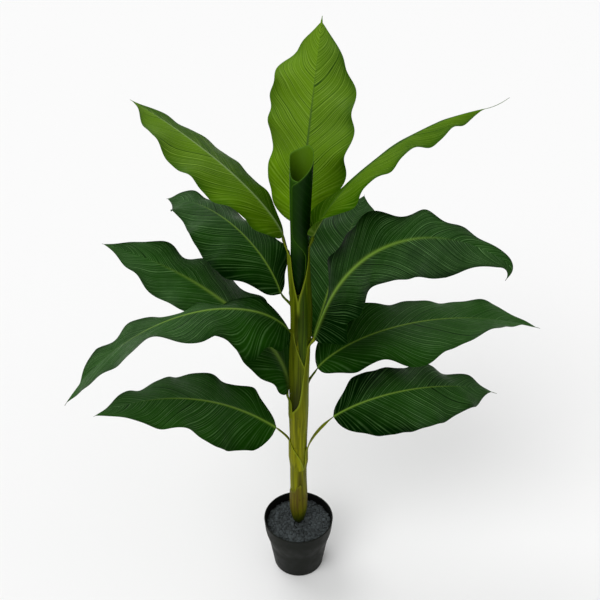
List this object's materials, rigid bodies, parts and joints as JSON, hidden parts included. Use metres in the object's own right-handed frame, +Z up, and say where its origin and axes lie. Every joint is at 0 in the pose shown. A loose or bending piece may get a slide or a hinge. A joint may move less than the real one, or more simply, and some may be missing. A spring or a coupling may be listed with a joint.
{
  "type": "artificial alocasia plant",
  "caption": "Tall potted artificial foliage plant: a green cane wrapped in leaf sheaths, long wavy ribbed leaves arching out on short stalks, a rolled young leaf on top, and a black tub.",
  "frame": {"origin": "middle of the pot's flat underside", "axes": "+Z up along the cane, +X to the viewer's right, -Y towards the viewer of the picture"},
  "size_m": [0.8221, 0.4403, 1.0682],
  "materials": {
    "pot": "matte",
    "fill": "matte",
    "cane": "satin",
    "dry_sheath": "matte",
    "stalk": "satin",
    "leaf_young": "satin",
    "leaf_mature": "satin",
    "leaf_scroll": "satin"
  },
  "bodies": {
    "root": {"pot": "pot", "pot_fill": "fill", "cane": "cane", "foot_sheath": "dry_sheath", "stalk_crown": "stalk", "leaf_crown": "leaf_young", "stalk_upper_left": "stalk", "leaf_upper_left": "leaf_young", "stalk_upper_right": "stalk", "leaf_upper_right": "leaf_young", "stalk_shoulder_left": "stalk", "leaf_shoulder_left": "leaf_mature", "stalk_shoulder_back": "stalk", "leaf_shoulder_back": "leaf_mature", "stalk_shoulder_right": "stalk", "leaf_shoulder_right": "leaf_mature", "stalk_middle_back": "stalk", "leaf_middle_back": "leaf_mature", "stalk_middle_left": "stalk", "leaf_middle_left": "leaf_mature", "stalk_middle_right": "stalk", "leaf_middle_right": "leaf_mature", "stalk_lower_left": "stalk", "leaf_lower_left": "leaf_mature", "stalk_lower_right": "stalk", "leaf_lower_right": "leaf_mature", "leaf_scroll": "leaf_scroll"}
  },
  "joints": []
}
